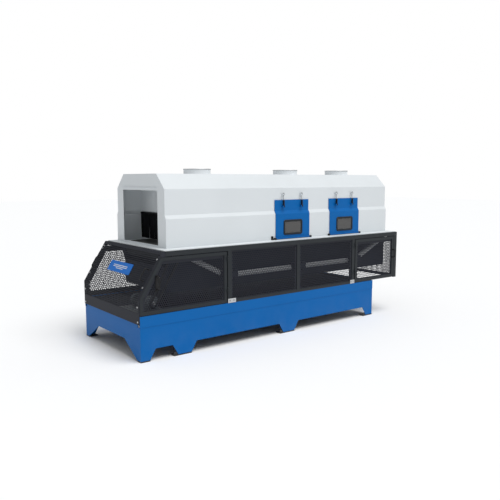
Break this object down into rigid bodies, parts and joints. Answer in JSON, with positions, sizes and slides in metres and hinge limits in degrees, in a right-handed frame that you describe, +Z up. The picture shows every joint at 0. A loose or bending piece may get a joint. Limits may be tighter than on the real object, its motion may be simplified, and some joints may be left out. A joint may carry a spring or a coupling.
{
  "type": "enclosed belt tunnel with extraction hood",
  "caption": "Enclosed belt tunnel on a leg base, with hinged perforated guards, an extraction hood, duct collars and drop-down inspection doors.",
  "frame": {"origin": "on the floor under the middle of the machine", "axes": "+X along the belt towards the exit end, +Y towards the rear, +Z up"},
  "size_m": [3.535, 1.296, 1.722],
  "materials": {
    "base_blue": "satin powder coat, mid blue",
    "guard_black": "fine-textured black powder coat",
    "mesh_black": "perforated sheet, black powder coat",
    "hood_white": "light grey-white powder coat",
    "galvanised": "zinc-plated steel",
    "bright_steel": "turned steel",
    "dark_steel": "dark grey painted frame",
    "tube_grey": "grey painted tube",
    "belt_rubber": "matt conveyor belting",
    "drum_rubber": "lagged drum face",
    "curtain_rubber": "matt black strips",
    "seal_rubber": "moulded window seal",
    "window_glass": "tinted pane",
    "handle_black": "black coated",
    "motor_grey": "grey machine enamel",
    "badge_blue": "blank blue plate",
    "chain_steel": "oiled roller chain",
    "collar_grey": "light grey coat"
  },
  "bodies": {
    "machine": {"base_front_panel": "base_blue", "base_left_end": "base_blue", "base_rear_panel": "base_blue", "base_right_end": "base_blue", "base_rim": "base_blue", "base_tray": "dark_steel", "conveyor_belt": "belt_rubber", "conveyor_frame": "dark_steel", "drive_chain": "chain_steel", "duct_collars": "collar_grey", "fixed_mesh_panels": "mesh_black", "gearmotor": "motor_grey", "guard_hinge_pins": "guard_black", "guard_posts": "guard_black", "guard_sills": "guard_black", "guard_top_rails": "guard_black", "hood_baffles": "hood_white", "hood_front_wall": "hood_white", "hood_left_end": "hood_white", "hood_rear_wall": "hood_white", "hood_right_end": "hood_white", "hood_roof": "hood_white", "hood_table": "hood_white", "inspection_hinge_pins": "handle_black", "latch_catches": "hood_white", "machine_feet": "handle_black", "post_plates": "galvanised", "truss_clamps": "dark_steel", "truss_tubes": "tube_grey"},
    "front_left_guard_door": {"front_left_door_frame": "guard_black", "front_left_door_mesh": "mesh_black", "front_left_door_handle": "handle_black"},
    "front_right_guard_door": {"front_right_door_frame": "guard_black", "front_right_door_mesh": "mesh_black", "front_right_door_handle": "handle_black"},
    "rear_left_guard_door": {"rear_left_door_frame": "guard_black", "rear_left_door_mesh": "mesh_black", "rear_left_door_handle": "handle_black"},
    "rear_right_guard_door": {"rear_right_door_frame": "guard_black", "rear_right_door_mesh": "mesh_black", "rear_right_door_handle": "handle_black"},
    "end_cover": {"left_end_cover": "mesh_black", "end_cover_handles": "handle_black", "end_cover_screws": "galvanised", "name_plate": "badge_blue"},
    "left_drop_door": {"left_inspection_door": "base_blue", "left_window_seal": "seal_rubber", "left_window_pane": "window_glass"},
    "left_latch_a": {"left_door_latch_a": "handle_black"},
    "left_latch_b": {"left_door_latch_b": "handle_black"},
    "right_drop_door": {"right_inspection_door": "base_blue", "right_window_seal": "seal_rubber", "right_window_pane": "window_glass"},
    "right_latch_a": {"right_door_latch_a": "handle_black"},
    "right_latch_b": {"right_door_latch_b": "handle_black"},
    "entry_flap": {"entry_curtain": "curtain_rubber"},
    "exit_flap": {"exit_curtain": "curtain_rubber"},
    "drive_drum": {"drive_drum": "drum_rubber"},
    "tail_drum": {"tail_drum": "drum_rubber"},
    "motor_shaft": {"motor_sprocket": "bright_steel"}
  },
  "joints": [
    {"name": "front_left_door_swing", "type": "hinge", "parent": "machine", "child": "front_left_guard_door", "pos_m": [-0.81, -0.608, 0.6], "axis": [0, 0, 1], "range_deg": [0, 100]},
    {"name": "front_right_door_swing", "type": "hinge", "parent": "machine", "child": "front_right_guard_door", "pos_m": [1.012, -0.608, 0.6], "axis": [0, 0, -1], "range_deg": [0, 100]},
    {"name": "rear_left_door_swing", "type": "hinge", "parent": "machine", "child": "rear_left_guard_door", "pos_m": [-0.81, 0.608, 0.6], "axis": [0, 0, -1], "range_deg": [0, 100]},
    {"name": "rear_right_door_swing", "type": "hinge", "parent": "machine", "child": "rear_right_guard_door", "pos_m": [1.012, 0.608, 0.6], "axis": [0, 0, 1], "range_deg": [0, 100]},
    {"name": "end_cover_pull", "type": "slide", "parent": "machine", "child": "end_cover", "axis": [-1, 0, 0], "range_m": [0, 0.4]},
    {"name": "left_door_drop", "type": "hinge", "parent": "machine", "child": "left_drop_door", "pos_m": [0.1615, -0.471, 0.991], "axis": [1, 0, 0], "range_deg": [0, 88]},
    {"name": "left_latch_a_swing", "type": "hinge", "parent": "left_drop_door", "child": "left_latch_a", "pos_m": [0.0305, -0.466, 1.328], "axis": [1, 0, 0], "range_deg": [0, 95]},
    {"name": "left_latch_b_swing", "type": "hinge", "parent": "left_drop_door", "child": "left_latch_b", "pos_m": [0.2925, -0.466, 1.328], "axis": [1, 0, 0], "range_deg": [0, 95]},
    {"name": "right_door_drop", "type": "hinge", "parent": "machine", "child": "right_drop_door", "pos_m": [0.9675, -0.471, 0.991], "axis": [1, 0, 0], "range_deg": [0, 88]},
    {"name": "right_latch_a_swing", "type": "hinge", "parent": "right_drop_door", "child": "right_latch_a", "pos_m": [0.8365, -0.466, 1.328], "axis": [1, 0, 0], "range_deg": [0, 95]},
    {"name": "right_latch_b_swing", "type": "hinge", "parent": "right_drop_door", "child": "right_latch_b", "pos_m": [1.0985, -0.466, 1.328], "axis": [1, 0, 0], "range_deg": [0, 95]},
    {"name": "entry_curtain_swing", "type": "hinge", "parent": "machine", "child": "entry_flap", "pos_m": [-1.1405, 0.04, 1.262], "axis": [0, 1, 0], "range_deg": [-55, 55]},
    {"name": "exit_curtain_swing", "type": "hinge", "parent": "machine", "child": "exit_flap", "pos_m": [1.4565, 0.04, 1.262], "axis": [0, 1, 0], "range_deg": [-55, 55]},
    {"name": "drive_drum_spin", "type": "hinge", "parent": "machine", "child": "drive_drum", "pos_m": [-1.3125, 0.04, 0.91], "axis": [0, 1, 0], "continuous": true},
    {"name": "tail_drum_spin", "type": "hinge", "parent": "machine", "child": "tail_drum", "pos_m": [1.6255, 0.04, 0.91], "axis": [0, 1, 0], "continuous": true},
    {"name": "motor_spin", "type": "hinge", "parent": "machine", "child": "motor_shaft", "pos_m": [-1.5575, -0.46, 0.482], "axis": [0, 1, 0], "continuous": true}
  ],
  "couplings": [
    {"joint": "tail_drum_spin", "follows": "drive_drum_spin", "ratio": 1},
    {"joint": "motor_spin", "follows": "drive_drum_spin", "ratio": 1.5}
  ]
}
